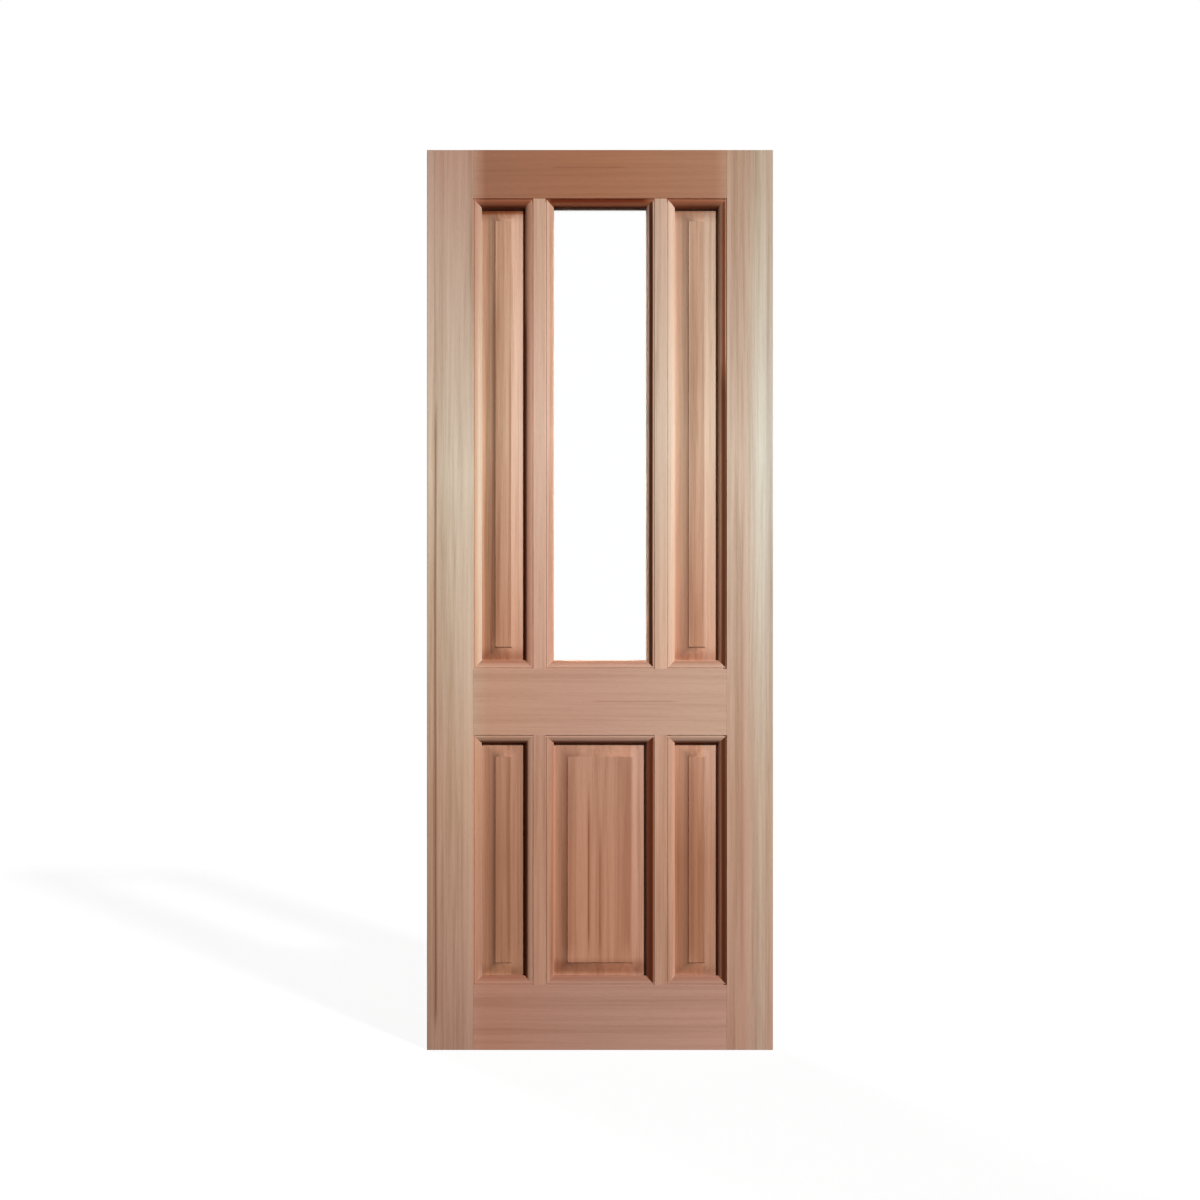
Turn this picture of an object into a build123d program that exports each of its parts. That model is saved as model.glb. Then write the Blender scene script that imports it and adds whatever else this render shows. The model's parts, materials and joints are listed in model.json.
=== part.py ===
from build123d import *
import os

# A glazed panel door leaf in hardwood, framed with scribed joints.
# X runs across from the hinge edge, Y from the front face to the back, Z up from the foot.
# Left and right are as seen from the front. All sizes are in millimetres.

# Leaf
leaf_width = 762
leaf_height = 1981
leaf_thickness = 44

# Flat faces of the framing, up to the outer edges of the mouldings
stile_face = 102
top_rail_face = 107
middle_rail_face = 146
bottom_rail_face = 143
muntin_face = 27

# Lippings glued to the long edges, counted in the stile's face
lipping_width = 16
arris_radius = 1.5

# Openings between the outer edges of the mouldings; the centre and upper ones take what is left
side_opening = 132
lower_opening = 550

# Quirked ovolo moulding, run on both faces, with a groove between
moulding_width = 18
quirk_width = 2
quirk_depth = 1.8
ovolo_drop = 0.8
ovolo_lean = 6  # degrees that the round already falls at its crest
lip_thickness = 7
groove_depth = 12
edge_ease = 0.8
cutter_overrun = 1

# Raised and fielded panels
tongue_thickness = 10
groove_clearance = 0.3
panel_edge_gap = 2
bevel_width = 30
bevel_lean = 6  # degrees that the hollow bevel rises at the sight edge
field_step = 1.2
field_thickness = 33

# Sealed glass unit, bedded on tapes and held by loose beads at the back
pane_thickness = 4
cavity_width = 6
glass_edge_gap = 3
spacer_height = 11
tape_thickness = 1.5
tape_width = 13
bead_setback = 1
bead_lip_thickness = 4

# Levels through the thickness, measured from the middle of the leaf
face_level = leaf_thickness / 2
groove_level = tongue_thickness / 2 + groove_clearance
lip_level = groove_level + lip_thickness
through = (-face_level, face_level)

# Spans of the openings
left_span = (stile_face, stile_face + side_opening)
right_span = (leaf_width - left_span[1], leaf_width - left_span[0])
centre_span = (left_span[1] + muntin_face, right_span[0] - muntin_face)
lower_span = (bottom_rail_face, bottom_rail_face + lower_opening)
upper_span = (lower_span[1] + middle_rail_face, leaf_height - top_rail_face)
rail_run = (stile_face, leaf_width - stile_face)


def length(span):
    return span[1] - span[0]


def middle(span):
    return (span[0] + span[1]) / 2


def grown(span, margin):
    """The span made longer by the margin at each end, or shorter by a negative one."""
    return (span[0] - margin, span[1] + margin)


def block(x_span, y_span, z_span):
    """A rectangular block between pairs of low and high coordinates."""
    spans = (x_span, y_span, z_span)
    return Pos(*map(middle, spans)) * Box(*map(length, spans))


def ring(x_span, y_span, z_span, bar):
    """A flat rectangular frame whose four sides are bars of the given height."""
    inside = block(grown(x_span, -bar), grown(y_span, cutter_overrun), grown(z_span, -bar))
    return block(x_span, y_span, z_span) - inside


def ovolo(crest_x, low_level, high_level):
    """The flattened round of the moulding, falling from its crest to the sight edge at x = 0."""
    falling = Vector(1, 0).rotate(Axis.Z, -ovolo_lean)
    return TangentArc((crest_x, high_level), (0, low_level), tangent=falling)


def easing(wall_x, level):
    """A small round from an upright wall at wall_x over to the level top on its +X side."""
    return TangentArc((wall_x, level - edge_ease), (wall_x + edge_ease, level), tangent=(0, 1))


def enclosed(*curves):
    """The face inside a closed loop of curves."""
    return make_face([edge for curve in curves for edge in curve.edges()])


def corner_waste():
    """Section of the wood that moulding takes off one back corner, with the sight edge at x = 0."""
    crest_x = quirk_width - moulding_width
    crest_level = face_level - ovolo_drop
    quirk_floor = face_level - quirk_depth
    outside = face_level + cutter_overrun
    straights = Polyline(
        (crest_x, crest_level - edge_ease),
        (crest_x, quirk_floor),
        (-moulding_width, quirk_floor),
        (-moulding_width, outside),
        (cutter_overrun, outside),
        (cutter_overrun, lip_level),
        (0, lip_level),
    )
    round_over = ovolo(crest_x + edge_ease, lip_level, crest_level)
    return enclosed(straights, round_over, easing(crest_x, crest_level))


def edge_cutter(run):
    """Both mouldings and the groove of one edge; the wood is on the -X side, the run along +Z."""
    back = corner_waste()
    front = mirror(back, about=Plane.XZ)
    groove = Pos((cutter_overrun - groove_depth) / 2, 0) * Rectangle(
        groove_depth + cutter_overrun, 2 * groove_level
    )
    return extrude(back, run) + extrude(front, run) + extrude(groove, run)


def without_offcuts(piece):
    """The piece without the small offcuts that scribing leaves loose in the quirks."""
    return piece.solids().sort_by(SortBy.VOLUME)[-1]


def make_stile():
    sight_edge = stile_face + moulding_width
    blank = block((lipping_width, sight_edge), through, (0, leaf_height))
    return blank - Pos(sight_edge, 0, 0) * edge_cutter(leaf_height)


def make_lipping():
    strip = block((0, lipping_width), through, (0, leaf_height))
    outer_edges = strip.edges().filter_by(Axis.Z).group_by(Axis.X)[0]
    return fillet(outer_edges, arris_radius)


def make_rail(face_span, moulded_below, moulded_above, stiles, rebate):
    """A rail scribed over the stile mouldings, with stub tenons left in the stile grooves."""
    low = face_span[0] - (moulding_width if moulded_below else 0)
    high = face_span[1] + (moulding_width if moulded_above else 0)
    rail = block(rail_run, through, (low, high))
    cutter = edge_cutter(length(rail_run))
    if moulded_below:
        rail -= Pos(rail_run[0], 0, low) * Rot(0, 90, 0) * cutter
    if moulded_above:
        rail -= Pos(rail_run[1], 0, high) * Rot(0, -90, 0) * cutter
    for stile in stiles:
        rail -= stile
    return without_offcuts(rail - rebate)


def make_muntin(face_span, z_span, rails, rebate):
    """An upright scribed over the rail mouldings, moulded and grooved on both edges."""
    low, high = grown(face_span, moulding_width)
    muntin = block((low, high), through, z_span)
    cutter = edge_cutter(length(z_span))
    muntin -= Pos(high, 0, z_span[0]) * cutter
    muntin -= Pos(low, 0, z_span[0]) * Rot(0, 0, 180) * cutter
    for rail in rails:
        muntin -= rail
    return without_offcuts(muntin - rebate)


def raised_section(sight_width):
    """Section across a panel: tongues, hollow bevels, and the field a step above them."""
    sight_x = sight_width / 2
    field_x = sight_x - bevel_width
    tongue_level = tongue_thickness / 2
    field_level = field_thickness / 2
    bevel_top = field_level - field_step
    straights = Polyline(
        (field_x, bevel_top),
        (field_x, field_level),
        (0, field_level),
        (0, 0),
        (sight_x + groove_depth - panel_edge_gap, 0),
        (sight_x + groove_depth - panel_edge_gap, tongue_level),
        (sight_x, tongue_level),
    )
    rising = Vector(-1, 0).rotate(Axis.Z, -bevel_lean)
    hollow = TangentArc((sight_x, tongue_level), (field_x, bevel_top), tangent=rising)
    quarter = enclosed(straights, hollow)
    half = quarter + mirror(quarter, about=Plane.YZ)
    return half + mirror(half, about=Plane.XZ)


def make_panel(x_span, z_span):
    """A panel raised on both faces; the two crossed sections meet in mitres at its corners."""
    sight_width = length(x_span) - 2 * moulding_width
    sight_height = length(z_span) - 2 * moulding_width
    tongue = groove_depth - panel_edge_gap
    across = extrude(raised_section(sight_width), sight_height / 2 + tongue, both=True)
    upright = extrude(raised_section(sight_height), sight_width / 2 + tongue, both=True)
    panel = across & Rot(0, 90, 0) * upright
    edges_by_level = panel.edges().group_by(Axis.Y)
    panel = fillet(edges_by_level[0] + edges_by_level[-1], edge_ease)
    return Pos(middle(x_span), 0, middle(z_span)) * panel


def make_bead(run, glass_level):
    """A mitred bead with its sight edge at x = 0, seated on the rebate at the -X side."""
    crest_x = quirk_width - moulding_width
    crest_level = face_level - bead_setback
    bead_lip = glass_level + bead_lip_thickness
    straights = Polyline(
        (-moulding_width, crest_level - edge_ease),
        (-moulding_width, glass_level),
        (0, glass_level),
        (0, bead_lip),
    )
    flat = Line((-moulding_width + edge_ease, crest_level), (crest_x, crest_level))
    outer_round = easing(-moulding_width, crest_level)
    section = enclosed(straights, ovolo(crest_x, bead_lip, crest_level), flat, outer_round)
    half_run = run / 2
    short_half = half_run - moulding_width
    mitres = make_face(
        Plane.XZ
        * Polyline(
            (-moulding_width, half_run),
            (0, short_half),
            (0, -short_half),
            (-moulding_width, -half_run),
            close=True,
        )
    )
    return extrude(section, half_run, both=True) & extrude(mitres, leaf_thickness, both=True)


def make_framing():
    """Stiles first, then the rails fitted between them, then the muntins between the rails."""
    across_middle = Plane.YZ.offset(leaf_width / 2)
    hinge_stile = make_stile()
    lock_stile = mirror(hinge_stile, about=across_middle)
    hinge_lipping = make_lipping()
    lock_lipping = mirror(hinge_lipping, about=across_middle)
    rebate = block(centre_span, (-groove_level, face_level + cutter_overrun), upper_span)
    fitted = ([hinge_stile, lock_stile], rebate)
    top_rail = make_rail((upper_span[1], leaf_height), True, False, *fitted)
    middle_rail = make_rail((lower_span[1], upper_span[0]), True, True, *fitted)
    bottom_rail = make_rail((0, lower_span[0]), False, True, *fitted)
    framing = {
        "hinge_stile": hinge_stile,
        "lock_stile": lock_stile,
        "hinge_stile_lipping": hinge_lipping,
        "lock_stile_lipping": lock_lipping,
        "top_rail": top_rail,
        "middle_rail": middle_rail,
        "bottom_rail": bottom_rail,
    }
    left_face = (left_span[1], centre_span[0])
    right_face = (centre_span[1], right_span[0])
    for side, face_span in (("left", left_face), ("right", right_face)):
        framing[f"upper_{side}_muntin"] = make_muntin(
            face_span, upper_span, (middle_rail, top_rail), rebate
        )
        framing[f"lower_{side}_muntin"] = make_muntin(
            face_span, lower_span, (bottom_rail, middle_rail), rebate
        )
    return framing


def make_panels():
    return {
        "upper_left_panel": make_panel(left_span, upper_span),
        "upper_right_panel": make_panel(right_span, upper_span),
        "lower_left_panel": make_panel(left_span, lower_span),
        "lower_centre_panel": make_panel(centre_span, lower_span),
        "lower_right_panel": make_panel(right_span, lower_span),
    }


def make_glazing():
    """Bedding tape, two panes with a spacer between, bedding tape, and four beads at the back."""
    glass_x = grown(centre_span, -glass_edge_gap)
    glass_z = grown(upper_span, -glass_edge_gap)
    layers = {}
    level = -groove_level
    for name, thickness, bar in (
        ("front_glazing_tape", tape_thickness, tape_width),
        ("front_glass_pane", pane_thickness, None),
        ("glass_spacer", cavity_width, spacer_height),
        ("back_glass_pane", pane_thickness, None),
        ("back_glazing_tape", tape_thickness, tape_width),
    ):
        y_span = (level, level + thickness)
        if bar:
            layers[name] = ring(glass_x, y_span, glass_z, bar)
        else:
            layers[name] = block(glass_x, y_span, glass_z)
        level += thickness
    sight_x = grown(centre_span, -moulding_width)
    sight_z = grown(upper_span, -moulding_width)
    side_bead = Pos(sight_x[0], 0, middle(sight_z)) * make_bead(length(upper_span), level)
    end_bead = make_bead(length(centre_span), level)
    layers["left_glazing_bead"] = side_bead
    layers["right_glazing_bead"] = mirror(side_bead, about=Plane.YZ.offset(middle(sight_x)))
    layers["top_glazing_bead"] = Pos(middle(sight_x), 0, sight_z[1]) * Rot(0, 90, 0) * end_bead
    layers["bottom_glazing_bead"] = Pos(middle(sight_x), 0, sight_z[0]) * Rot(0, -90, 0) * end_bead
    return layers


os.makedirs("parts", exist_ok=True)
for name, piece in (make_framing() | make_panels() | make_glazing()).items():
    export_step(piece, f"parts/{name}.step")
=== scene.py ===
import json
import math

import bmesh
import bpy
from mathutils import Vector
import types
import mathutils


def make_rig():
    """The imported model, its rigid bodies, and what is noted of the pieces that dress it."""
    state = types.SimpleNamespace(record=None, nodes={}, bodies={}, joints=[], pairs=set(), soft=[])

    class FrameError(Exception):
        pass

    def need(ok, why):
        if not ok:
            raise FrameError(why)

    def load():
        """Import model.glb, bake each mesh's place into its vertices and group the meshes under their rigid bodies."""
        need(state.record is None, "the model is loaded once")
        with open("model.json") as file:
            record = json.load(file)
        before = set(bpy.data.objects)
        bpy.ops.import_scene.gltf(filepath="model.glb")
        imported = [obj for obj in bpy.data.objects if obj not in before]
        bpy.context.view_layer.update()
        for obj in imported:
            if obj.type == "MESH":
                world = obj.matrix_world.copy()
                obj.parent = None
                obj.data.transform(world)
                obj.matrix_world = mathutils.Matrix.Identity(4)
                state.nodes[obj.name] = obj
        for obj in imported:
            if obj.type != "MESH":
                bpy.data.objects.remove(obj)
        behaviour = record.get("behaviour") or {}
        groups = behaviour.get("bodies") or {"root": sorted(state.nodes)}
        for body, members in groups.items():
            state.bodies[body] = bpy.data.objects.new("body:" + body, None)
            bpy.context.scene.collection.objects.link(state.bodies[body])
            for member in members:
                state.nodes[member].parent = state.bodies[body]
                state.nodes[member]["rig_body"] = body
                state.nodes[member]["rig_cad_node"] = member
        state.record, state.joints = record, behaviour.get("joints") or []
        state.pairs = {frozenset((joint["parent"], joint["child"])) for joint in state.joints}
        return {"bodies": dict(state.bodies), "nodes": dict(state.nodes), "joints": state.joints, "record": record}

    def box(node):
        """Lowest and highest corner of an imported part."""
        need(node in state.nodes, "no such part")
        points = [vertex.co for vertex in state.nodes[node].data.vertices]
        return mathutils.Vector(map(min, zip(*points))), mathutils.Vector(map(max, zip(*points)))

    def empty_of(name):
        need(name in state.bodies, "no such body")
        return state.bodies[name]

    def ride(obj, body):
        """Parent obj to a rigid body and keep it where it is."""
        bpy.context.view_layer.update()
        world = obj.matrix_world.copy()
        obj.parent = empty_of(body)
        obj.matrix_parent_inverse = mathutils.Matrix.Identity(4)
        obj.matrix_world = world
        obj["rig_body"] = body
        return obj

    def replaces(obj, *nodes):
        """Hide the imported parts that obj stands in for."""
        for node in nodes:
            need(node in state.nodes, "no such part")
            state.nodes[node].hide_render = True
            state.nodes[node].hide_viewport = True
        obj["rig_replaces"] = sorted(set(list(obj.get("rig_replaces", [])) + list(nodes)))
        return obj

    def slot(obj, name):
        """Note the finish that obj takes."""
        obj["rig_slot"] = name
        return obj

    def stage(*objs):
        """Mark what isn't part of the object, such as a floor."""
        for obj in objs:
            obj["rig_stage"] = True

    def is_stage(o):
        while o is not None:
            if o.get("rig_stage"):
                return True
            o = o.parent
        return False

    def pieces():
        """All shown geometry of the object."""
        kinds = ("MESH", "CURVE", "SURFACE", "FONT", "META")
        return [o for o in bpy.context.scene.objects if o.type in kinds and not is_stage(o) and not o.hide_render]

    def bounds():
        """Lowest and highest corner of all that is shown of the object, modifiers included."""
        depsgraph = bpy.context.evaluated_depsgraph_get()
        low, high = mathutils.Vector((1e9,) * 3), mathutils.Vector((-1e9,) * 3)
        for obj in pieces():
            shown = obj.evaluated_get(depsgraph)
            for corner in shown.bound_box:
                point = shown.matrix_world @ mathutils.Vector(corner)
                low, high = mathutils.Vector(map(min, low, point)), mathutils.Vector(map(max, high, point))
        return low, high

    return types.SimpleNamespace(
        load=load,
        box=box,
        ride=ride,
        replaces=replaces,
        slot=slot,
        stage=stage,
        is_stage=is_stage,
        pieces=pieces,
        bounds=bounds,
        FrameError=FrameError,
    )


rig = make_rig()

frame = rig.load()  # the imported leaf: every node rides on the one body
cadLow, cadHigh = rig.bounds()

leaf = {
    "body": "root",
    "middle": (cadLow + cadHigh) / 2,
    "sizeFile": "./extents.json",
}
print("frame loaded:", len(frame["nodes"]), "nodes")


def linearTone(red, green, blue):
    # a tone picked as 0 to 255 screen values, as the linear colour that shaders take
    channels = [value / 255 for value in (red, green, blue)]
    return [c / 12.92 if c <= 0.04045 else ((c + 0.055) / 1.055) ** 2.4 for c in channels]


def addNode(tree, kind, sockets=None, **settings):
    node = tree.nodes.new(kind)
    for name, value in settings.items():
        setattr(node, name, value)
    for key, value in (sockets or {}).items():
        if isinstance(value, bpy.types.NodeSocket):
            tree.links.new(value, node.inputs[key])
        else:
            node.inputs[key].default_value = value
    return node


def mathOf(tree, operation, first, second=0.0, third=0.0):
    return addNode(tree, "ShaderNodeMath", {0: first, 1: second, 2: third}, operation=operation).outputs[0]


def vectorOf(tree, operation, first, second):
    node = addNode(tree, "ShaderNodeVectorMath", {0: first, 1: second}, operation=operation)
    return node.outputs["Value" if operation in ("DOT_PRODUCT", "LENGTH") else "Vector"]


def rangeOf(tree, value, fromLow, fromHigh, toLow, toHigh, kind="SMOOTHSTEP"):
    sockets = {"Value": value, "From Min": fromLow, "From Max": fromHigh, "To Min": toLow, "To Max": toHigh}
    return addNode(tree, "ShaderNodeMapRange", sockets, interpolation_type=kind).outputs["Result"]


def mixOf(tree, share, first, second, blend="MIX"):
    sockets = {0: share, 6: first, 7: second}
    return addNode(tree, "ShaderNodeMix", sockets, data_type="RGBA", blend_type=blend).outputs[2]


def rampOf(tree, value, stops, kind="LINEAR"):
    node = addNode(tree, "ShaderNodeValToRGB", {"Fac": value})
    ramp = node.color_ramp
    ramp.interpolation = kind
    while len(ramp.elements) < len(stops):
        ramp.elements.new(1.0)
    for element, (place, colour) in zip(ramp.elements, stops):
        element.position = place
        element.color = (*colour, 1.0)
    return node.outputs["Color"]


def noiseOf(tree, place, stretch, detail=2.0, roughness=0.5):
    # stretch is in cycles per metre across, through and along the grain
    stretched = vectorOf(tree, "MULTIPLY", place, stretch)
    sockets = {"Vector": stretched, "Scale": 1.0, "Detail": detail, "Roughness": roughness}
    return addNode(tree, "ShaderNodeTexNoise", sockets)


def newMaterial(name):
    material = bpy.data.materials.new(name)
    material.use_nodes = True
    tree = material.node_tree
    return material, tree, tree.nodes["Principled BSDF"]


def addPiece(name, mesh, slotName, *nodeNames):
    piece = bpy.data.objects.new(name, mesh)
    bpy.context.scene.collection.objects.link(piece)
    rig.ride(piece, leaf["body"])
    if nodeNames:
        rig.replaces(piece, *nodeNames)
    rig.slot(piece, slotName)
    return piece


# the grain that every timber shares, with stretches in cycles per metre
grain = {
    "wander": 0.012,                     # m that the fibres lean off line
    "wanderStretch": (3.0, 3.0, 1.2),
    "wanderDetail": 1.0,
    "bandStretch": (34.0, 34.0, 0.55),
    "bandNoise": (3.0, 0.55),            # detail and roughness
    "streakStretch": (150.0, 150.0, 2.4),
    "streakNoise": (3.0, 0.6),
    "fibreStretch": (620.0, 620.0, 9.0),
    "fibreNoise": (2.0, 0.6),
    "poreStretch": (850.0, 850.0, 38.0),
    "bandShare": 1.0,
    "streakShare": 0.75,
    "fibreShare": 0.40,
    "deepCut": (0.60, 0.53, 0.46),       # darkest grain, as a share of the palest
    "bodyCut": (0.84, 0.83, 0.82),
    "poreCut": 0.16,
    "endCut": (0.66, 0.60, 0.54),        # end grain soaks up light
    # duskCut and nightCut darken the painted shade lines at half and full depth; the pores also take duskCut
    "duskCut": (0.42, 0.20, 0.11),       # a dark line at half its depth
    "nightCut": (0.07, 0.035, 0.02),     # and at full depth
    "lineWobble": 0.004,
    "roughness": 0.56,
    "glossSwing": 0.22,
    "shine": 0.10,
    "relief": 0.00025,                   # m between pore and fibre
    "reliefStrength": 0.5,
    "fibreRise": 0.6,                    # share of the relief in the fibres
    "poreSink": -0.5,                    # and in the pores
    "poreEdge": (0.12, 0.34),            # from the heart of a pore to clear wood, in cells
    "endEdge": (0.75, 0.97),             # how squarely a face cuts the fibres to show end grain
    "figureStops": (0.12, 0.5, 0.88),    # darkest, middle and palest grain
    "lineFade": (0.08, 0.015),           # m over which upright and level lines run out
    "logShift": (0.37, 0.71, 1.31),      # m from one timber's place in the log to the next
}

# tones from the low end of the grain to the high end, each with its share of the length; each timber's own tone, with
# painted light: a painted sheen makes the stiles, lippings, upper muntins and upper panels paler near mid height, and
# the top rail is darker as painted fall-off of light
woodTonesAndPaintedLight = {
    "hingeStile": (
        (0.0, (163, 126, 108)), (0.3, (188, 153, 129)), (0.64, (211, 194, 172)),
        (1.0, (177, 140, 121)),
    ),
    "lockStile": (
        (0.0, (174, 134, 114)), (0.28, (188, 149, 126)), (0.66, (214, 190, 169)),
        (1.0, (182, 148, 125)),
    ),
    "hingeLipping": (
        (0.0, (160, 125, 106)), (0.28, (174, 137, 112)), (0.64, (213, 191, 166)),
        (1.0, (176, 143, 126)),
    ),
    "lockLipping": (
        (0.0, (180, 144, 124)), (0.28, (192, 163, 140)), (0.66, (210, 201, 186)),
        (1.0, (189, 165, 144)),
    ),
    "leftMuntin": ((0.0, (200, 156, 134)), (0.5, (214, 179, 157)), (1.0, (196, 158, 134))),
    "rightMuntin": ((0.0, (207, 168, 143)), (0.5, (214, 190, 168)), (1.0, (201, 168, 146))),
    "lowerMuntin": ((0.0, (174, 130, 108)), (0.6, (182, 137, 112)), (1.0, (186, 143, 121))),
    "paleLowerMuntin": ((0.0, (183, 140, 118)), (0.6, (192, 148, 123)), (1.0, (196, 154, 132))),
    "topRail": (
        (0.0, (176, 136, 113)), (0.05, (150, 102, 78)), (0.5, (160, 108, 79)),
        (0.95, (167, 120, 93)), (1.0, (178, 138, 113)),
    ),
    "middleRail": (
        (0.0, (190, 155, 131)), (0.06, (189, 145, 121)), (0.5, (191, 150, 130)),
        (1.0, (198, 162, 140)),
    ),
    "bottomRail": (
        (0.0, (168, 125, 105)), (0.06, (166, 119, 98)), (0.5, (168, 127, 110)),
        (1.0, (177, 135, 117)),
    ),
    "upperPanel": ((0.0, (184, 131, 102)), (0.5, (208, 168, 140)), (1.0, (190, 146, 118))),
    "paleUpperPanel": ((0.0, (196, 142, 114)), (0.5, (210, 174, 147)), (1.0, (190, 152, 127))),
    "lowerPanel": ((0.0, (176, 125, 98)), (0.5, (180, 130, 103)), (1.0, (184, 137, 113))),
    "darkPanel": ((0.0, (166, 119, 91)), (0.5, (169, 121, 94)), (1.0, (184, 136, 110))),
    "shadedPanel": ((0.0, (168, 118, 91)), (0.5, (172, 120, 92)), (1.0, (198, 149, 122))),
    "bead": ((0.0, (188, 147, 122)), (0.5, (198, 160, 136)), (1.0, (188, 147, 122))),
}
contrasts = {  # strength of the grain, where it isn't 1
    "topRail": 0.55,
    "middleRail": 0.55,
    "bottomRail": 0.6,
    "upperPanel": 1.2,
    "paleUpperPanel": 1.2,
}

timbers = {  # node: wood, way of the grain, place in the log, record slot
    "hinge_stile": ("hingeStile", "upright", 1, "stile_wood"),
    "lock_stile": ("lockStile", "upright", 2, "stile_wood"),
    "hinge_stile_lipping": ("hingeLipping", "upright", 3, "stile_wood"),
    "lock_stile_lipping": ("lockLipping", "upright", 4, "stile_wood"),
    "top_rail": ("topRail", "level", 5, "rail_wood"),
    "middle_rail": ("middleRail", "level", 6, "rail_wood"),
    "bottom_rail": ("bottomRail", "level", 7, "rail_wood"),
    "upper_left_muntin": ("leftMuntin", "upright", 8, "stile_wood"),
    "upper_right_muntin": ("rightMuntin", "upright", 9, "stile_wood"),
    "lower_left_muntin": ("lowerMuntin", "upright", 10, "stile_wood"),
    "lower_right_muntin": ("paleLowerMuntin", "upright", 11, "stile_wood"),
    "upper_left_panel": ("upperPanel", "upright", 12, "panel_wood"),
    "upper_right_panel": ("paleUpperPanel", "upright", 13, "panel_wood"),
    "lower_left_panel": ("darkPanel", "upright", 14, "panel_wood"),
    "lower_centre_panel": ("lowerPanel", "upright", 15, "panel_wood"),
    "lower_right_panel": ("shadedPanel", "upright", 16, "panel_wood"),
    "left_glazing_bead": ("bead", "upright", 17, "bead_wood"),
    "right_glazing_bead": ("bead", "upright", 18, "bead_wood"),
    "top_glazing_bead": ("bead", "level", 19, "bead_wood"),
    "bottom_glazing_bead": ("bead", "level", 20, "bead_wood"),
}


def darkLine(at, run, reach, depth, width=0.0):
    # darkest from at over its width, fading over its reach to each side, in m from the hinge edge
    # or, for a level line, from the foot
    return {"at": at, "run": run, "reach": reach, "depth": depth, "width": width}


def tintBand(axis, rise, fall, tint):
    return {"axis": axis, "rise": rise, "fall": fall, "tint": tint}


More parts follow.
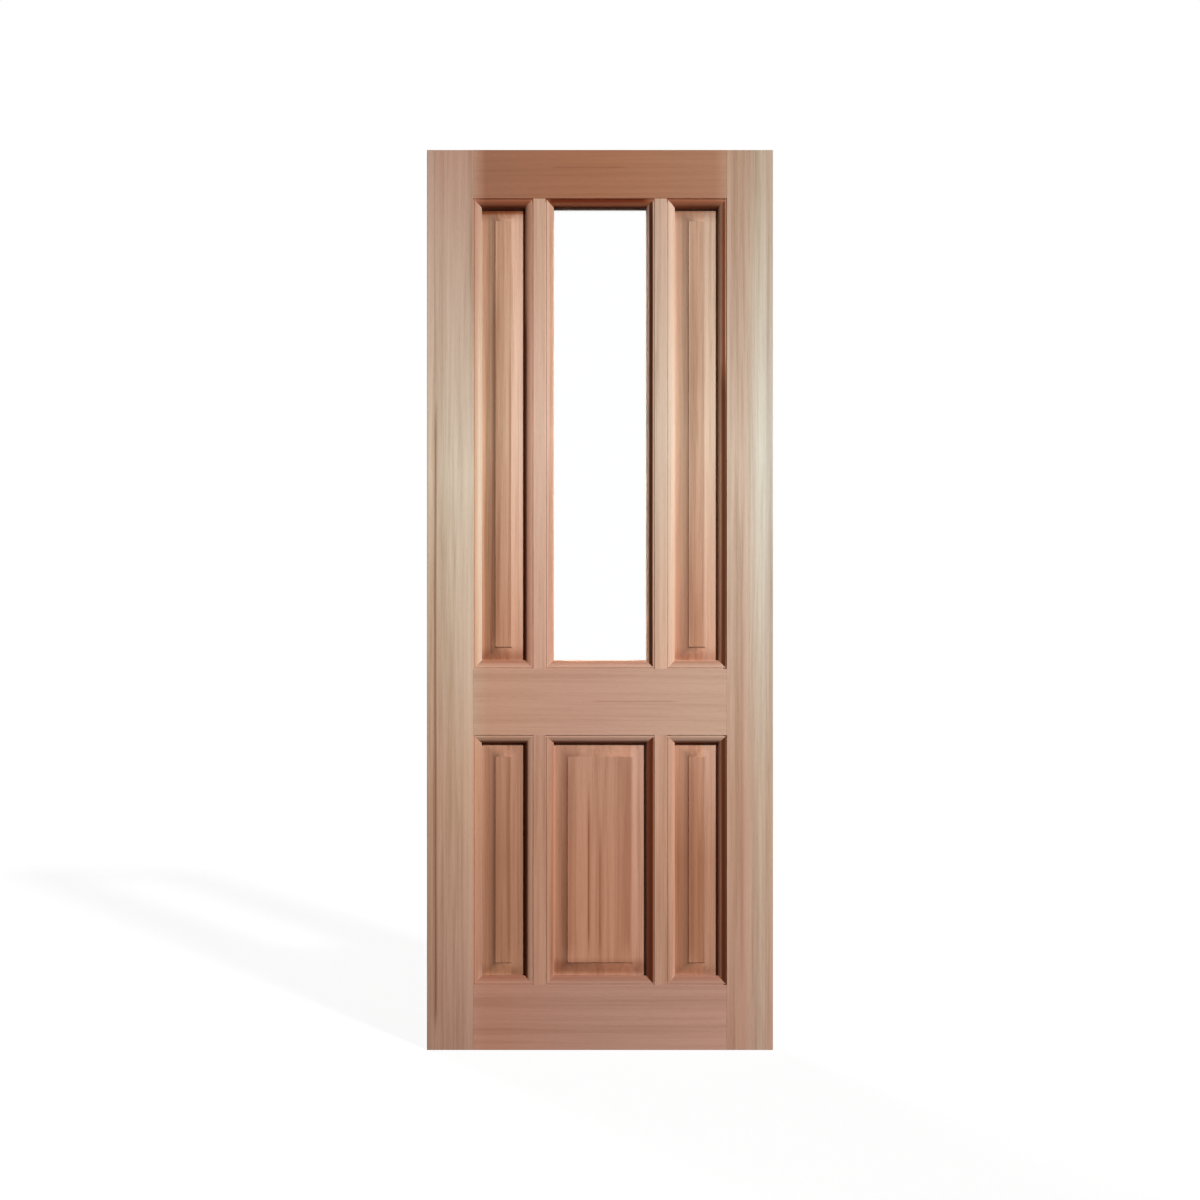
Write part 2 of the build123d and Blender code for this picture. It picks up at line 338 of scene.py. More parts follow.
# dark lines that run up the leaf, dark lines that run across it, and bands of another tint: most lines are painted
# shade and painted shadow along mouldings, bevels and field edges, the rest glue joints, a stave joint and streaks in
# the wood; most bands are painted light and shade on mouldings and bevels, one a paler stave
uprightPaintedShadeAndWoodLines = {
    "hinge_stile": (
        # a dark glue joint between stile and lipping
        darkLine(at=0.0180, run=(0.02, 1.50), reach=(0.002, 0.008), depth=0.42),
        # painted shade: a soft dark fade on the stile beside the lipping joint
        darkLine(at=0.0165, run=(0.02, 1.70), reach=(0.002, 0.036), depth=0.08),
        # painted shade on the left moulding of the lower left panel
        darkLine(at=0.118, run=(0.12, 0.80), reach=(0.014, 0.004), depth=0.22),
    ),
    "hinge_stile_lipping": (
        # a dark glue joint on the lipping's side
        darkLine(at=0.0160, run=(0.02, 1.60), reach=(0.005, 0.002), depth=0.12),
    ),
    "lock_stile": (
        # a stave joint in the stile
        darkLine(at=0.6920, run=(0.10, 1.25), reach=(0.006, 0.010), depth=0.08),
        # painted shade and shadow along the right moulding of the right panels
        darkLine(at=0.6520, run=(0.07, 1.60), reach=(0.0070, 0.0040), depth=0.82, width=0.0045),
        darkLine(at=0.6545, run=(1.30, 1.99), reach=(0.010, 0.006), depth=0.60),
    ),
    "upper_left_muntin": (
        # painted shade on the left moulding of the glass
        darkLine(at=0.276, run=(0.80, 1.95), reach=(0.014, 0.005), depth=0.22),
        # painted shadow along the right moulding of the upper left panel
        darkLine(at=0.2165, run=(0.80, 1.70), reach=(0.004, 0.005), depth=0.60),
    ),
    "upper_right_muntin": (
        # painted shade and shadow along the right moulding of the glass
        darkLine(at=0.4915, run=(0.75, 1.99), reach=(0.0045, 0.0040), depth=1.0, width=0.0035),
    ),
    "lower_left_muntin": (
        # painted shade on the left moulding of the lower centre panel
        darkLine(at=0.277, run=(0.12, 0.80), reach=(0.014, 0.004), depth=0.24),
        # painted shadow along the right moulding of the lower left panel
        darkLine(at=0.2165, run=(0.10, 0.80), reach=(0.004, 0.006), depth=0.75, width=0.002),
    ),
    "lower_right_muntin": (
        # painted shade and shadow along the right moulding of the lower centre panel
        darkLine(at=0.4945, run=(0.08, 0.85), reach=(0.014, 0.007), depth=0.84),
        # painted shade on the left moulding of the lower right panel
        darkLine(at=0.544, run=(0.12, 0.80), reach=(0.012, 0.004), depth=0.10),
    ),
    "upper_left_panel": (
        # painted shade along the field's edges and on the right bevel
        darkLine(at=0.1450, run=(0.86, 1.75), reach=(0.006, 0.034), depth=0.17),
        darkLine(at=0.184, run=(0.87, 1.60), reach=(0.007, 0.002), depth=0.18),
        darkLine(at=0.200, run=(0.87, 1.60), reach=(0.002, 0.003), depth=0.10),
        # painted shadow under the right moulding
        darkLine(at=0.2155, run=(0.80, 1.95), reach=(0.005, 0.010), depth=0.45),
    ),
    "upper_right_panel": (
        # painted shade along the field's edges
        darkLine(at=0.578, run=(0.87, 1.75), reach=(0.004, 0.028), depth=0.12),
        darkLine(at=0.609, run=(0.90, 1.60), reach=(0.006, 0.002), depth=0.08),
    ),
    "lower_left_panel": (
        # painted shade along the field's edges and on the right bevel
        darkLine(at=0.1460, run=(0.15, 0.75), reach=(0.005, 0.026), depth=0.18),
        darkLine(at=0.181, run=(0.16, 0.74), reach=(0.010, 0.004), depth=0.21),
        darkLine(at=0.200, run=(0.16, 0.76), reach=(0.003, 0.003), depth=0.14),
        # painted shadow under the right moulding
        darkLine(at=0.2155, run=(0.10, 0.80), reach=(0.005, 0.010), depth=0.45),
    ),
    "lower_centre_panel": (
        # painted shade along the field's edges
        darkLine(at=0.308, run=(0.17, 0.74), reach=(0.024, 0.030), depth=0.21),
        darkLine(at=0.447, run=(0.18, 0.74), reach=(0.036, 0.003), depth=0.19),
        # dark streaks in the wood
        darkLine(at=0.3555, run=(0.19, 0.62), reach=(0.0025, 0.0030), depth=0.46),
        darkLine(at=0.3555, run=(0.19, 0.64), reach=(0.0060, 0.0080), depth=0.20),
        darkLine(at=0.3800, run=(0.17, 0.55), reach=(0.0030, 0.0045), depth=0.32),
        darkLine(at=0.3800, run=(0.17, 0.57), reach=(0.0070, 0.0090), depth=0.16),
    ),
    "lower_right_panel": (
        # painted shade along the field's left edge
        darkLine(at=0.578, run=(0.16, 0.75), reach=(0.004, 0.030), depth=0.20),
    ),
}

levelPaintedShadeAndWoodLines = {
    "top_rail": (
        # painted shade and shadow on the moulding over the glass
        darkLine(at=1.8705, run=(0.262, 0.500), reach=(0.010, 0.006), depth=0.57),
        darkLine(at=1.8555, run=(0.262, 0.500), reach=(0.003, 0.003), depth=0.80),
        # a streak in the wood
        darkLine(at=1.9430, run=(0.27, 0.45), reach=(0.003, 0.003), depth=0.14),
    ),
    "bottom_rail": (
        # painted shade on the moulding under the lower panels
        darkLine(at=0.159, run=(0.09, 0.67), reach=(0.014, 0.006), depth=0.28),
        # a streak in the wood
        darkLine(at=0.069, run=(0.46, 0.66), reach=(0.002, 0.004), depth=0.07),
    ),
    "middle_rail": (
        # painted shade on the mouldings under the upper panels and the glass
        darkLine(at=0.855, run=(0.09, 0.67), reach=(0.014, 0.004), depth=0.28),
        # painted shadow under the mouldings over the lower panels
        darkLine(at=0.6765, run=(0.09, 0.67), reach=(0.003, 0.006), depth=0.45),
        # a streak in the wood
        darkLine(at=0.7670, run=(0.36, 0.56), reach=(0.0015, 0.0025), depth=0.18),
    ),
    "upper_left_panel": (
        # painted shadow under the top moulding
        darkLine(at=1.852, run=(0.10, 0.24), reach=(0.032, 0.006), depth=0.28),
        darkLine(at=1.850, run=(0.10, 0.24), reach=(0.016, 0.006), depth=0.60),
        # painted shade on the bottom bevel
        darkLine(at=0.862, run=(0.10, 0.24), reach=(0.008, 0.030), depth=0.26, width=0.002),
    ),
    "upper_right_panel": (
        # painted shadow under the top moulding
        darkLine(at=1.852, run=(0.52, 0.66), reach=(0.032, 0.006), depth=0.23),
        darkLine(at=1.850, run=(0.52, 0.66), reach=(0.014, 0.004), depth=0.30),
        # painted shade on the bottom bevel
        darkLine(at=0.862, run=(0.52, 0.66), reach=(0.008, 0.028), depth=0.17, width=0.002),
    ),
    "lower_left_panel": (
        # painted shade on the bottom bevel
        darkLine(at=0.170, run=(0.08, 0.26), reach=(0.010, 0.024), depth=0.12),
        # painted shadow under the top moulding
        darkLine(at=0.674, run=(0.08, 0.26), reach=(0.006, 0.010), depth=0.45),
    ),
    "lower_centre_panel": (
        # painted shade on the bottom bevel
        darkLine(at=0.172, run=(0.26, 0.50), reach=(0.012, 0.024), depth=0.25, width=0.010),
        # painted shadow under the top moulding
        darkLine(at=0.674, run=(0.24, 0.52), reach=(0.006, 0.010), depth=0.45),
    ),
    "lower_right_panel": (
        # painted shade on the bottom bevel
        darkLine(at=0.170, run=(0.50, 0.68), reach=(0.010, 0.024), depth=0.12),
        # painted shadow under the top moulding
        darkLine(at=0.674, run=(0.50, 0.68), reach=(0.006, 0.010), depth=0.45),
    ),
}

toneAndPaintedLightBands = {
    "hinge_stile": (
        # painted shade: a warmer, darker tint over the quirk and outer part of the left moulding
        tintBand("x", rise=(0.100, 0.104), fall=(0.108, 0.117), tint=(1.0, 0.77, 0.67)),
    ),
    "lock_stile": (
        # the stile's own paler stave
        tintBand("x", rise=(0.694, 0.735), fall=(0.765, 0.775), tint=(1.10, 1.33, 1.42)),
        # painted light: a warmer tint on the inner part of the right moulding, which lies in shade
        tintBand("x", rise=(0.638, 0.641), fall=(0.648, 0.652), tint=(1.10, 0.91, 0.83)),
        # painted shade: a redder, darker tint on the outer part of the right moulding
        tintBand("x", rise=(0.650, 0.653), fall=(0.657, 0.662), tint=(1.0, 0.88, 0.82)),
    ),
    "top_rail": (
        # painted shade: a redder, darker tint on the mouldings under the top rail
        tintBand("z", rise=(1.850, 1.853), fall=(1.873, 1.876), tint=(1.05, 0.78, 0.68)),
    ),
    "upper_left_muntin": (
        # painted shade: a redder, darker tint on the right moulding of the upper left panel
        tintBand("x", rise=(0.214, 0.217), fall=(0.231, 0.235), tint=(0.96, 0.80, 0.74)),
    ),
    "lower_right_muntin": (
        # painted shade: a redder, darker tint on the right moulding of the lower centre panel
        tintBand("x", rise=(0.482, 0.485), fall=(0.497, 0.502), tint=(0.97, 0.82, 0.76)),
    ),
    "upper_left_panel": (
        # painted sheen: a paler, cooler tint on the lit right bevel
        tintBand("x", rise=(0.183, 0.187), fall=(0.212, 0.216), tint=(1.0, 1.08, 1.18)),
    ),
    "upper_right_panel": (
        # painted sheen: a cooler tint on the lit right bevel
        tintBand("x", rise=(0.608, 0.613), fall=(0.638, 0.642), tint=(0.92, 1.03, 1.10)),
    ),
    "lower_left_panel": (
        # painted shade: a darker tint on the right bevel
        tintBand("x", rise=(0.183, 0.187), fall=(0.212, 0.216), tint=(0.80, 0.80, 0.82)),
    ),
    "lower_centre_panel": (
        # painted sheen: a paler, cooler tint on the lit right bevel
        tintBand("x", rise=(0.450, 0.455), fall=(0.480, 0.484), tint=(0.98, 1.06, 1.18)),
    ),
    "lower_right_panel": (
        # painted sheen: a cooler tint on the lit right bevel
        tintBand("x", rise=(0.608, 0.613), fall=(0.638, 0.642), tint=(0.90, 0.99, 1.10)),
    ),
}


def paintedShadeAndWoodLineShare(tree, across, along, lines, fade):
    share = None
    for line in lines:
        end = line["at"] + line["width"]
        low, high = line["run"]
        below, above = line["reach"]
        depth = rangeOf(tree, across, line["at"] - below, line["at"], 0.0, line["depth"])
        for edge in (
            rangeOf(tree, across, end, end + above, 1.0, 0.0),
            rangeOf(tree, along, low, low + fade, 0.0, 1.0),
            rangeOf(tree, along, high - 2 * fade, high, 1.0, 0.0),  # the high end runs out more slowly
        ):
            depth = mathOf(tree, "MULTIPLY", depth, edge)
        share = depth if share is None else mathOf(tree, "MAXIMUM", share, depth)
    return share


def woodMaterial(nodeName, woodName, lies, seed):
    # lies is the way the grain runs in this piece: upright or level
    material, tree, shader = newMaterial(nodeName + "_grain_and_painted_light")
    low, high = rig.box(nodeName)
    place = addNode(tree, "ShaderNodeTexCoord").outputs["Object"]
    turn = (0.0, math.radians(90), 0.0) if lies == "level" else (0.0, 0.0, 0.0)
    shift = [step * seed for step in grain["logShift"]]
    sockets = {"Vector": place, "Rotation": turn, "Location": shift}
    cut = addNode(tree, "ShaderNodeMapping", sockets).outputs[0]
    sway = noiseOf(tree, cut, grain["wanderStretch"], grain["wanderDetail"]).outputs["Color"]
    sway = vectorOf(tree, "SUBTRACT", sway, (0.5, 0.5, 0.5))
    lean = vectorOf(tree, "MULTIPLY", sway, (grain["wander"], grain["wander"], 0.0))
    fibres = vectorOf(tree, "ADD", cut, lean)

    layers = {}
    figure = 0.5
    for layer in ("band", "streak", "fibre"):
        noise = noiseOf(tree, fibres, grain[layer + "Stretch"], *grain[layer + "Noise"])
        layers[layer] = noise.outputs["Fac"]
        off = mathOf(tree, "SUBTRACT", layers[layer], 0.5)
        share = grain[layer + "Share"] * contrasts.get(woodName, 1.0)
        figure = mathOf(tree, "MULTIPLY_ADD", off, share, figure)
    cuts = (grain["deepCut"], grain["bodyCut"], (1.0, 1.0, 1.0))
    figureTone = rampOf(tree, figure, list(zip(grain["figureStops"], cuts)))

    spot = addNode(tree, "ShaderNodeSeparateXYZ", {0: place}).outputs
    axis = 0 if lies == "level" else 2
    along = rangeOf(tree, spot[axis], low[axis], high[axis], 0.0, 1.0, "LINEAR")
    tones = []
    for at, tone in woodTonesAndPaintedLight[woodName]:
        tones.append((at, [c / b for c, b in zip(linearTone(*tone), grain["bodyCut"])]))
    colour = mixOf(tree, 1.0, rampOf(tree, along, tones), figureTone, "MULTIPLY")
    # bands of painted light and shade, and one paler stave, tint the colour here
    for band in toneAndPaintedLightBands.get(nodeName, ()):
        across = spot["xyz".index(band["axis"])]
        share = mathOf(tree, "MULTIPLY", rangeOf(tree, across, *band["rise"], 0.0, 1.0),
                       rangeOf(tree, across, *band["fall"], 1.0, 0.0))
        tinted = mixOf(tree, 1.0, colour, (*band["tint"], 1.0), "MULTIPLY")
        colour = mixOf(tree, share, colour, tinted)
    wobble = addNode(tree, "ShaderNodeSeparateXYZ", {0: sway}).outputs[0]
    uprightFade, levelFade = grain["lineFade"]
    # lines of painted shade and shadow, along with some glue joints, a stave joint and streaks, darken the colour here
    for lines, axis, other, fade in ((uprightPaintedShadeAndWoodLines, 0, 2, uprightFade), (levelPaintedShadeAndWoodLines, 2, 0, levelFade)):
        if nodeName in lines:
            across = mathOf(tree, "MULTIPLY_ADD", wobble, grain["lineWobble"], spot[axis])
            dusk = paintedShadeAndWoodLineShare(tree, across, spot[other], lines[nodeName], fade)
            depths = ((0.0, (1, 1, 1)), (0.5, grain["duskCut"]), (1.0, grain["nightCut"]))
            colour = mixOf(tree, 1.0, colour, rampOf(tree, dusk, depths), "MULTIPLY")

    pores = vectorOf(tree, "MULTIPLY", fibres, grain["poreStretch"])
    pores = addNode(tree, "ShaderNodeTexVoronoi", {"Vector": pores, "Scale": 1.0}).outputs["Distance"]
    pores = rangeOf(tree, pores, *grain["poreEdge"], 1.0, 0.0)
    poreTone = mixOf(tree, 1.0, colour, (*grain["duskCut"], 1.0), "MULTIPLY")
    colour = mixOf(tree, mathOf(tree, "MULTIPLY", pores, grain["poreCut"]), colour, poreTone)

    facing = addNode(tree, "ShaderNodeNewGeometry").outputs["True Normal"]
    ends = vectorOf(tree, "DOT_PRODUCT", facing, (1.0, 0.0, 0.0) if lies == "level" else (0.0, 0.0, 1.0))
    ends = rangeOf(tree, mathOf(tree, "ABSOLUTE", ends), *grain["endEdge"], 0.0, 1.0)
    colour = mixOf(tree, ends, colour, mixOf(tree, 1.0, colour, (*grain["endCut"], 1.0), "MULTIPLY"))

    gloss = mathOf(tree, "SUBTRACT", layers["streak"], 0.5)
    gloss = mathOf(tree, "MULTIPLY_ADD", gloss, -grain["glossSwing"], grain["roughness"])
    height = mathOf(tree, "MULTIPLY", pores, grain["poreSink"])
    height = mathOf(tree, "MULTIPLY_ADD", layers["fibre"], grain["fibreRise"], height)
    sockets = {"Height": height, "Strength": grain["reliefStrength"], "Distance": grain["relief"]}
    relief = addNode(tree, "ShaderNodeBump", sockets).outputs[0]
    tree.links.new(colour, shader.inputs["Base Color"])
    tree.links.new(gloss, shader.inputs["Roughness"])
    tree.links.new(relief, shader.inputs["Normal"])
    shader.inputs["Specular IOR Level"].default_value = grain["shine"]
    return material


joinery = {
    "weld": 0.00002,                 # m within which the loose corners of a solid are one
    "flat": math.radians(0.2),       # faces that turn less than this are one
    "smooth": math.radians(28),      # edges that turn less than this are shaded round
    "arris": 0.0004,                 # m taken off the sharp edges
    "arrisFrom": math.radians(60),
    "arrisTo": math.radians(100),
    "shortest": 0.006,               # m, edges below this keep their corner
}


def weldedShape(nodeName):
    # a copy of a solid's triangles, welded, with whole flat faces and softened arrises
    mesh = frame["nodes"][nodeName].data.copy()
    mesh.name = nodeName + "_wood"
    mesh.materials.clear()
    shape = bmesh.new()
    shape.from_mesh(mesh)
    bmesh.ops.remove_doubles(shape, verts=shape.verts, dist=joinery["weld"])
    bmesh.ops.dissolve_limit(shape, angle_limit=joinery["flat"], verts=shape.verts, edges=shape.edges)
    arrises = [
        edge for edge in shape.edges
        if edge.is_manifold and edge.is_convex and edge.calc_length() > joinery["shortest"]
        and joinery["arrisFrom"] < edge.calc_face_angle() < joinery["arrisTo"]
    ]
    bmesh.ops.bevel(shape, geom=arrises, offset=joinery["arris"], segments=1, profile=0.5,
                    affect="EDGES", clamp_overlap=True)
    for face in shape.faces:
        face.smooth = True
    shape.to_mesh(mesh)
    shape.free()
    mesh.set_sharp_from_angle(angle=joinery["smooth"])
    return mesh


def dressTimber(nodeName, woodName, lies, seed, slotName):
    mesh = weldedShape(nodeName)
    mesh.materials.append(woodMaterial(nodeName, woodName, lies, seed))
    piece = addPiece(nodeName + "_wood", mesh, slotName, nodeName)
    piece.modifiers.new("evenShading", "WEIGHTED_NORMAL").keep_sharp = True
    return piece


timberPieces = {name: dressTimber(name, *cut) for name, cut in timbers.items()}
print("timber dressed:", len(timberPieces), "pieces,",
      sum(len(piece.data.polygons) for piece in timberPieces.values()), "faces")


glazing = {
    "glassTint": (0.996, 1.0, 0.998),
    "glassBend": 1.5,
    "hazeMost": 0.006,
    "hazeStretch": (5.0, 5.0, 2.0),
    "hazeDetail": 3.0,
    "hazeEdge": (0.4, 0.75),
    "spacerTone": (150, 152, 154),
    "spacerMetal": 0.85,
    "spacerGloss": (0.34, 0.5),
    "rolledStretch": (900.0, 900.0, 40.0),
    "rolledCut": 0.8,                    # darkest roll mark, as a share of the palest
    "tapeTone": (26, 25, 24),
    "tapeSwing": (0.6, 1.5),             # darkest and palest foam, as shares of the tone
    "tapeGloss": (0.75, 0.92),
    "tapeShine": 0.2,
    "foamStretch": (1400.0, 1400.0, 1400.0),
    "speckEdge": (0.3, 0.7),             # span of the noise that the tones run over
}


def glassMaterial():
    material, tree, shader = newMaterial("clearGlass")
    place = addNode(tree, "ShaderNodeTexCoord").outputs["Object"]
    haze = noiseOf(tree, place, glazing["hazeStretch"], glazing["hazeDetail"]).outputs["Fac"]
    blur = rangeOf(tree, haze, *glazing["hazeEdge"], 0.0, glazing["hazeMost"])
    tree.links.new(blur, shader.inputs["Roughness"])
    shader.inputs["Base Color"].default_value = (*glazing["glassTint"], 1.0)
    shader.inputs["Transmission Weight"].default_value = 1.0
    shader.inputs["IOR"].default_value = glazing["glassBend"]
    return material


def spacerMaterial():
    material, tree, shader = newMaterial("dullSpacer")
    place = addNode(tree, "ShaderNodeTexCoord").outputs["Object"]
    rolled = noiseOf(tree, place, glazing["rolledStretch"]).outputs["Fac"]
    pale = linearTone(*glazing["spacerTone"])
    tones = ([c * glazing["rolledCut"] for c in pale], pale)
    colour = rampOf(tree, rolled, list(zip(glazing["speckEdge"], tones)))
    tree.links.new(colour, shader.inputs["Base Color"])
    gloss = rangeOf(tree, rolled, *glazing["speckEdge"], *glazing["spacerGloss"])
    tree.links.new(gloss, shader.inputs["Roughness"])
    shader.inputs["Metallic"].default_value = glazing["spacerMetal"]
    return material


def tapeMaterial():
    material, tree, shader = newMaterial("beddingTape")
    place = addNode(tree, "ShaderNodeTexCoord").outputs["Object"]
    foam = noiseOf(tree, place, glazing["foamStretch"]).outputs["Fac"]
    black = linearTone(*glazing["tapeTone"])
    tones = [[c * swing for c in black] for swing in glazing["tapeSwing"]]
    colour = rampOf(tree, foam, list(zip(glazing["speckEdge"], tones)))
    tree.links.new(colour, shader.inputs["Base Color"])
    gloss = rangeOf(tree, foam, *glazing["speckEdge"], *glazing["tapeGloss"])
    tree.links.new(gloss, shader.inputs["Roughness"])
    shader.inputs["Specular IOR Level"].default_value = glazing["tapeShine"]
    return material


clearGlass, dullSpacer, beddingTape = glassMaterial(), spacerMaterial(), tapeMaterial()
glazingNodes = {
    "front_glass_pane": clearGlass,
    "back_glass_pane": clearGlass,
    "glass_spacer": dullSpacer,
    "front_glazing_tape": beddingTape,
    "back_glazing_tape": beddingTape,
}
for nodeName, material in glazingNodes.items():
    node = frame["nodes"][nodeName]
    node.data.materials.clear()
    node.data.materials.append(material)
    node.visible_shadow = material is not clearGlass  # lamps reach through clear glass
print("glazing dressed:", len(glazingNodes), "nodes")


fixings = {
    "pinSpacing": 0.165,       # m between the pins along a bead
    "pinEnd": 0.04,            # m from a mitre to the first pin
    "pinInset": 0.0085,        # m from the sight edge to the line of pins
    "pinRadius": 0.0011,
    "pinRise": 0.00025,
    "pinTone": (96, 82, 70),
    "pinMetal": 0.8,
    "holeSpacing": 0.005,      # m between the holes of the spacer bar
    "holeRows": (-0.0012, 0.0012),
    "holeRadius": 0.0005,
    "holeRise": 0.00004,
    # tone of the dark discs that stand in for the holes, painted shade
    "holeTone": (22, 22, 23),
    "holeMetal": 0.0,
    "headSides": 10,
    "crownShare": 0.6,         # top of a head, as a share of its foot
    "wornStretch": (420.0, 420.0, 420.0),
    "wornEdge": (0.3, 0.7),
    "wornCut": 0.6,            # darkest wear, as a share of the palest
    "wornGloss": (0.35, 0.6),
    "outerSlack": 0.001,       # m, corners nearer the outside than this are the spacer's outer ones
}


def seatingTree(material):
    # small round heads along guide edges, each set down on the nearest face of the carrier
    tree = bpy.data.node_groups.new("seatAlongEdges", "GeometryNodeTree")
    names = {}
    inputs = {"Guide": "Geometry", "Carrier": "Object", "Spacing": "Float", "Radius": "Float",
              "Rise": "Float"}
    for name, kind in inputs.items():
        kind = "NodeSocket" + kind
        names[name] = tree.interface.new_socket(name=name, in_out="INPUT", socket_type=kind)
    tree.interface.new_socket(name="Heads", in_out="OUTPUT", socket_type="NodeSocketGeometry")
    given = tree.nodes.new("NodeGroupInput").outputs
    carrier = addNode(tree, "GeometryNodeObjectInfo", {"Object": given["Carrier"]}).outputs["Geometry"]
    line = addNode(tree, "GeometryNodeMeshToCurve", {"Mesh": given["Guide"]}).outputs["Curve"]
    sockets = {"Curve": line, "Length": given["Spacing"]}
    line = addNode(tree, "GeometryNodeResampleCurve", sockets, mode="LENGTH")
    facing = addNode(tree, "GeometryNodeInputNormal").outputs["Normal"]
    facing = addNode(tree, "GeometryNodeSampleNearestSurface", {"Mesh": carrier, "Value": facing},
                     data_type="FLOAT_VECTOR").outputs["Value"]
    kept = addNode(tree, "GeometryNodeCaptureAttribute", {0: line.outputs["Curve"]})
    kept.capture_items.new("VECTOR", "Facing")
    tree.links.new(facing, kept.inputs["Facing"])
    seat = addNode(tree, "GeometryNodeProximity", {0: carrier}, target_element="FACES").outputs["Position"]
    points = addNode(tree, "GeometryNodeSetPosition", {0: kept.outputs[0], "Position": seat}).outputs[0]
    turn = addNode(tree, "FunctionNodeAlignRotationToVector", {"Vector": kept.outputs["Facing"]}, axis="Z")
    crown = mathOf(tree, "MULTIPLY", given["Radius"], fixings["crownShare"])
    sockets = {"Vertices": fixings["headSides"], "Radius Top": crown, "Radius Bottom": given["Radius"],
               "Depth": given["Rise"]}
    head = addNode(tree, "GeometryNodeMeshCone", sockets).outputs["Mesh"]
    sockets = {"Points": points, "Instance": head, "Rotation": turn.outputs["Rotation"]}
    heads = addNode(tree, "GeometryNodeInstanceOnPoints", sockets).outputs[0]
    whole = addNode(tree, "GeometryNodeRealizeInstances", {0: heads}).outputs[0]
    painted = addNode(tree, "GeometryNodeSetMaterial", {0: whole, "Material": material}).outputs[0]
    tree.links.new(painted, tree.nodes.new("NodeGroupOutput").inputs["Heads"])
    return tree, {name: socket.identifier for name, socket in names.items()}


def headMaterial(name, tone, metal):
    material, tree, shader = newMaterial(name)
    place = addNode(tree, "ShaderNodeTexCoord").outputs["Object"]
    worn = noiseOf(tree, place, fixings["wornStretch"]).outputs["Fac"]
    dark = linearTone(*tone)
    tones = ([c * fixings["wornCut"] for c in dark], dark)
    colour = rampOf(tree, worn, list(zip(fixings["wornEdge"], tones)))
    tree.links.new(colour, shader.inputs["Base Color"])
    gloss = rangeOf(tree, worn, *fixings["wornEdge"], *fixings["wornGloss"])
    tree.links.new(gloss, shader.inputs["Roughness"])
    shader.inputs["Metallic"].default_value = metal
    return material


def seatHeads(name, slotName, material, carrier, corners, edges, spacing, radius, rise):
    guide = bpy.data.meshes.new(name + "_guide")
    guide.from_pydata(corners, edges, [])
    maker = bpy.data.objects.new(name + "_guide", guide)
    bpy.context.scene.collection.objects.link(maker)
    tree, sockets = seatingTree(material)
    seating = maker.modifiers.new("seating", "NODES")
    seating.node_group = tree
    for key, value in (("Carrier", carrier), ("Spacing", spacing), ("Radius", radius), ("Rise", rise)):
        seating[sockets[key]] = value
    mesh = bpy.data.meshes.new_from_object(maker.evaluated_get(bpy.context.evaluated_depsgraph_get()))
    mesh.name = name
    maker.modifiers.remove(seating)
    bpy.data.objects.remove(maker)
    return addPiece(name, mesh, slotName)


def joinedShape(name, pieces):
    shape = bmesh.new()
    for piece in pieces:
        shape.from_mesh(piece.data)
    mesh = bpy.data.meshes.new(name)
    shape.to_mesh(mesh)
    shape.free()
    whole = bpy.data.objects.new(name, mesh)
    bpy.context.scene.collection.objects.link(whole)
    return whole


def pinBeads():
    low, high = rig.box("left_glazing_bead")[0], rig.box("right_glazing_bead")[1]
    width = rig.box("left_glazing_bead")[1].x - low.x
    inset, end, level = width - fixings["pinInset"], width + fixings["pinEnd"], high.y
    corners = []
    for z in (low.z + inset, high.z - inset):
        corners += [(low.x + end, level, z), (high.x - end, level, z)]
    for x in (low.x + inset, high.x - inset):
        corners += [(x, level, low.z + end), (x, level, high.z - end)]
    sides = [timberPieces[side + "_glazing_bead"] for side in ("left", "right", "top", "bottom")]
    beads = joinedShape("bead_faces", sides)
    steel = headMaterial("pinSteel", fixings["pinTone"], fixings["pinMetal"])
    edges = [(0, 1), (2, 3), (4, 5), (6, 7)]
    pins = seatHeads("bead_pins", "bead_wood", steel, beads, corners, edges, fixings["pinSpacing"],
                     fixings["pinRadius"], fixings["pinRise"])
    bpy.data.objects.remove(beads)
    return pins


def perforateSpacer():
    low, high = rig.box("glass_spacer")
    places = [corner.co.x - low.x for corner in frame["nodes"]["glass_spacer"].data.vertices]
    bar = min(place for place in places if place > fixings["outerSlack"])  # height of the bar
    corners, edges = [], []
    for row in fixings["holeRows"]:
        y, first = (low.y + high.y) / 2 + row, len(corners)
        left, right, foot, top = low.x + bar, high.x - bar, low.z + bar, high.z - bar
        corners += [(left, y, foot), (right, y, foot), (right, y, top), (left, y, top)]
        edges += [(first + i, first + (i + 1) % 4) for i in range(4)]
    # painted shade: dark discs stand in for the spacer's holes
    shade = headMaterial("darkHole", fixings["holeTone"], fixings["holeMetal"])
    return seatHeads("spacer_perforations", "spacer", shade, frame["nodes"]["glass_spacer"], corners, edges,
                     fixings["holeSpacing"], fixings["holeRadius"], fixings["holeRise"])


beadPins = pinBeads()
spacerHoles = perforateSpacer()
print("fixings seated:", len(beadPins.data.polygons), "faces of pins,",
      len(spacerHoles.data.polygons), "faces of holes")


studio = {
    "floorSide": 6.0,
    "floorRoughness": 0.9,
    "floorTone": 0.92,
    "floorBounce": 0.05,                     # how much light the floor throws back at the leaf
    "floorGlow": 0.90,                       # share of plain white in the floor, the rest takes the shadow
    "lampDistance": 3.0,                     # m, a sun lamp shines alike from any distance
    "keyFrom": (0.82, -1.0, 0.87),
    "keyStrength": 4.68,
    "keySoftness": math.radians(5),
    "backFrom": (-0.50, 0.75, 0.43),
    "backStrength": 3.5,
    "backSoftness": math.radians(20),
    "ambient": 0.02,
}
picture = {
    "side": 2.641,       # m that the square picture spans at the front face
    "distance": 3.4,     # m from the front face
    "sensor": 36.0,
}


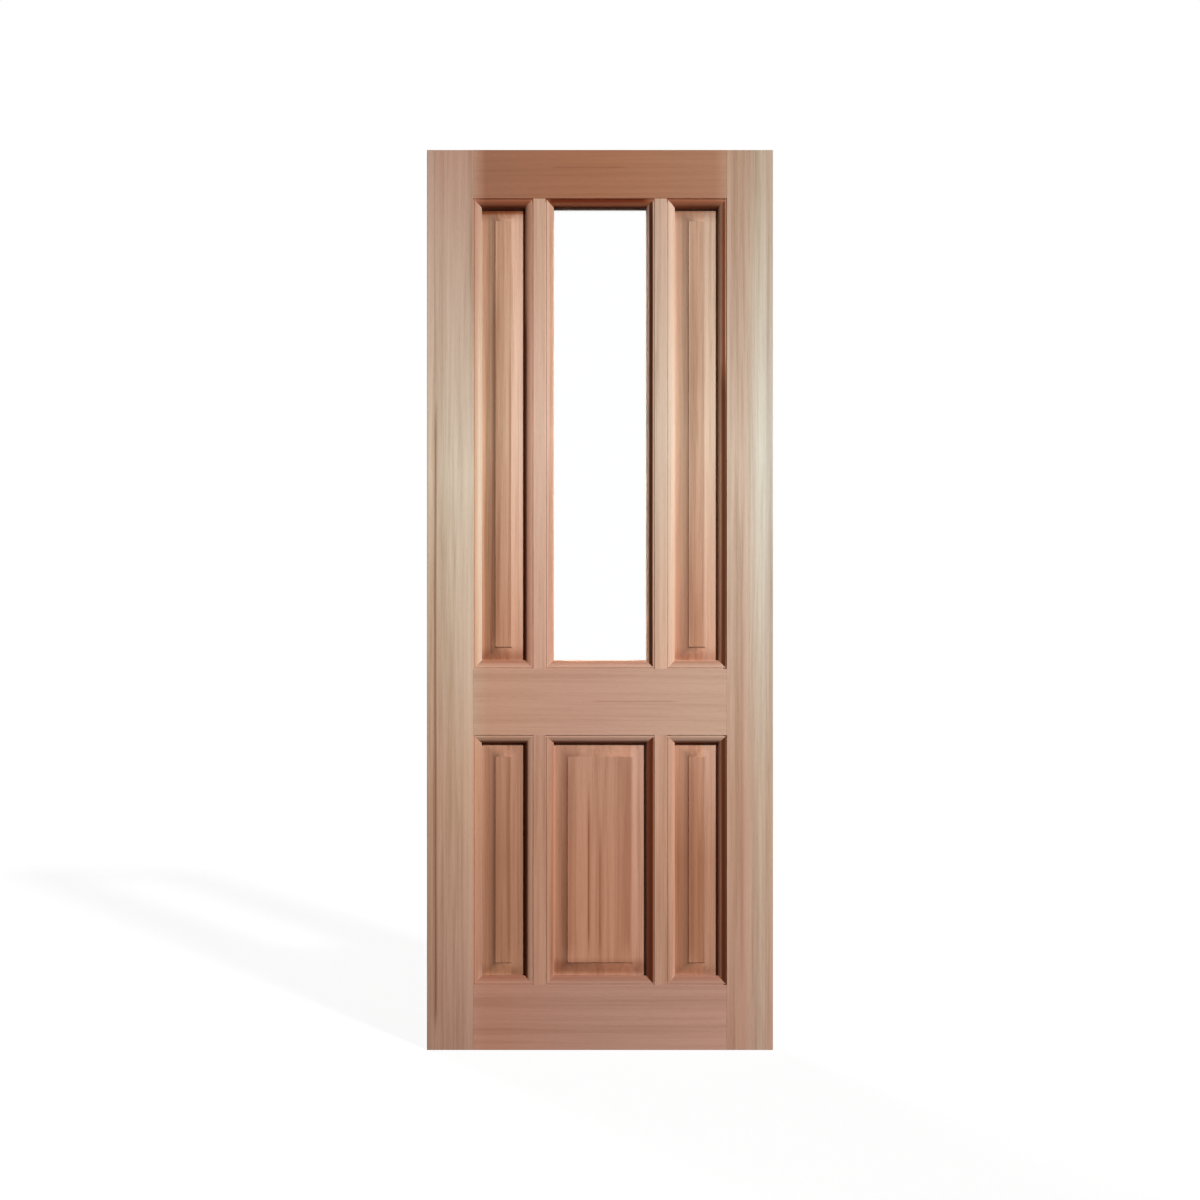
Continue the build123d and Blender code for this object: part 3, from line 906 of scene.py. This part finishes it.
def seenDirectly(tree):
    # 1 for what the eye, a reflection or the glass shows, 0 for light that falls on things
    path = addNode(tree, "ShaderNodeLightPath").outputs
    seen = mathOf(tree, "MAXIMUM", path["Is Camera Ray"], path["Is Glossy Ray"])
    return mathOf(tree, "MAXIMUM", seen, path["Is Transmission Ray"])


def layFloor():
    half = studio["floorSide"] / 2
    x, y, z = leaf["middle"].x, leaf["middle"].y, cadLow.z
    turns = ((-1, -1), (1, -1), (1, 1), (-1, 1))
    corners = [(x + half * across, y + half * back, z) for across, back in turns]
    mesh = bpy.data.meshes.new("studio_floor")
    mesh.from_pydata(corners, [], [(0, 1, 2, 3)])
    material, tree, shader = newMaterial("studioFloor")
    seen = seenDirectly(tree)
    tone = rangeOf(tree, seen, 0.0, 1.0, studio["floorBounce"], studio["floorTone"], "LINEAR")
    tree.links.new(tone, shader.inputs["Base Color"])
    shader.inputs["Roughness"].default_value = studio["floorRoughness"]
    shader.inputs["Specular IOR Level"].default_value = 0.0
    glow = addNode(tree, "ShaderNodeEmission", {"Color": (1.0, 1.0, 1.0, 1.0), "Strength": 1.0})
    share = mathOf(tree, "MULTIPLY", seen, studio["floorGlow"])
    blend = addNode(tree, "ShaderNodeMixShader", {0: share, 1: shader.outputs[0], 2: glow.outputs[0]})
    tree.links.new(blend.outputs[0], tree.nodes["Material Output"].inputs["Surface"])
    mesh.materials.append(material)
    floor = bpy.data.objects.new("studio_floor", mesh)
    bpy.context.scene.collection.objects.link(floor)
    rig.stage(floor)


def hangLamp(name, comesFrom, strength, softness):
    lamp = bpy.data.lights.new(name, "SUN")
    lamp.energy = strength
    lamp.angle = softness
    holder = bpy.data.objects.new(name, lamp)
    holder.location = leaf["middle"] + Vector(comesFrom) * studio["lampDistance"]
    holder.rotation_euler = Vector(comesFrom).to_track_quat("Z", "Y").to_euler()
    bpy.context.scene.collection.objects.link(holder)


def paintWorld():
    world = bpy.data.worlds.new("studioWhite")
    bpy.context.scene.world = world
    world.use_nodes = True
    tree = world.node_tree
    background = tree.nodes["Background"]
    background.inputs["Color"].default_value = (1.0, 1.0, 1.0, 1.0)
    strength = rangeOf(tree, seenDirectly(tree), 0.0, 1.0, studio["ambient"], 1.0, "LINEAR")
    tree.links.new(strength, background.inputs["Strength"])


def standCamera():
    lens = bpy.data.cameras.new("photoCamera")
    lens.sensor_width = picture["sensor"]
    lens.lens = picture["sensor"] * picture["distance"] / picture["side"]
    camera = bpy.data.objects.new("photoCamera", lens)
    camera.location = (leaf["middle"].x, cadLow.y - picture["distance"], leaf["middle"].z)
    camera.rotation_euler = (math.radians(90), 0.0, 0.0)
    bpy.context.scene.collection.objects.link(camera)
    bpy.context.scene.camera = camera


layFloor()
hangLamp("keyLight", studio["keyFrom"], studio["keyStrength"], studio["keySoftness"])
hangLamp("backLight", studio["backFrom"], studio["backStrength"], studio["backSoftness"])
paintWorld()
standCamera()
bpy.context.scene.view_settings.view_transform = "Standard"
print("studio set")

seenLow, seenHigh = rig.bounds()
with open(leaf["sizeFile"], "w") as sizeFile:
    json.dump({"cad": [list(cadLow), list(cadHigh)], "visual": [list(seenLow), list(seenHigh)]}, sizeFile)
